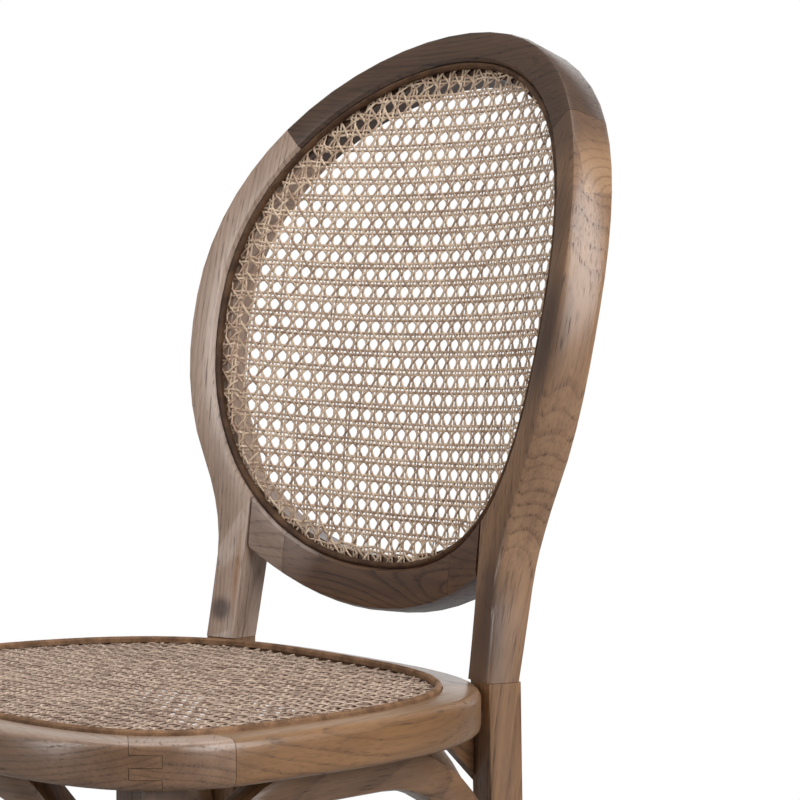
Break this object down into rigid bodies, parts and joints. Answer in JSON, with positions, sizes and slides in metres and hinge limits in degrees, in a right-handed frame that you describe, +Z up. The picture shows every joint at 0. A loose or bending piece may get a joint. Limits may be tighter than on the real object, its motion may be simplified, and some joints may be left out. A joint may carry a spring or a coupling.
{
  "type": "dining chair",
  "caption": "Dining chair with a round curved back and a broad seat, both of woven cane in dark wood frames, on slim legs braced by bent arches.",
  "frame": {"origin": "middle of the footprint, on the floor", "axes": "+Z up, +Y towards the back of the chair, +X to the right as the chair is seen from the front"},
  "size_m": [0.472, 0.5142, 0.9275],
  "materials": {
    "frame_wood": "stained and wire-brushed open-grain hardwood under satin lacquer",
    "cane": "natural woven cane webbing, low sheen",
    "spline_reed": "stained reed spline",
    "dowel_wood": "unfinished beech",
    "screw_steel": "zinc-plated",
    "foot_nylon": "matt"
  },
  "bodies": {
    "root": {"back_cane": "cane", "back_post_left": "frame_wood", "back_post_right": "frame_wood", "back_spline": "spline_reed", "crest_dowel_left": "dowel_wood", "crest_dowel_right": "dowel_wood", "crest_rail": "frame_wood", "front_arch": "frame_wood", "front_arch_screw_end": "screw_steel", "front_arch_screw_start": "screw_steel", "front_arch_screw_top": "screw_steel", "front_glide_left": "foot_nylon", "front_glide_right": "foot_nylon", "front_leg_left": "frame_wood", "front_leg_right": "frame_wood", "lower_rail": "frame_wood", "lower_rail_wing_left": "frame_wood", "lower_rail_wing_right": "frame_wood", "post_dowel_left": "dowel_wood", "post_dowel_right": "dowel_wood", "rail_dowel_left": "dowel_wood", "rail_dowel_right": "dowel_wood", "rear_arch": "frame_wood", "rear_arch_screw_end": "screw_steel", "rear_arch_screw_start": "screw_steel", "rear_arch_screw_top": "screw_steel", "rear_brace_left": "frame_wood", "rear_brace_right": "frame_wood", "rear_glide_left": "foot_nylon", "rear_glide_right": "foot_nylon", "rear_leg_left": "frame_wood", "rear_leg_right": "frame_wood", "seat_bolt_left": "screw_steel", "seat_bolt_right": "screw_steel", "seat_cane": "cane", "seat_corner_block_left": "frame_wood", "seat_corner_block_right": "frame_wood", "seat_front_rail": "frame_wood", "seat_rear_rail": "frame_wood", "seat_side_rail_left": "frame_wood", "seat_side_rail_right": "frame_wood", "seat_spline": "spline_reed", "side_arch_left": "frame_wood", "side_arch_left_screw_end": "screw_steel", "side_arch_left_screw_start": "screw_steel", "side_arch_left_screw_top": "screw_steel", "side_arch_right": "frame_wood", "side_arch_right_screw_end": "screw_steel", "side_arch_right_screw_start": "screw_steel", "side_arch_right_screw_top": "screw_steel"}
  },
  "joints": []
}
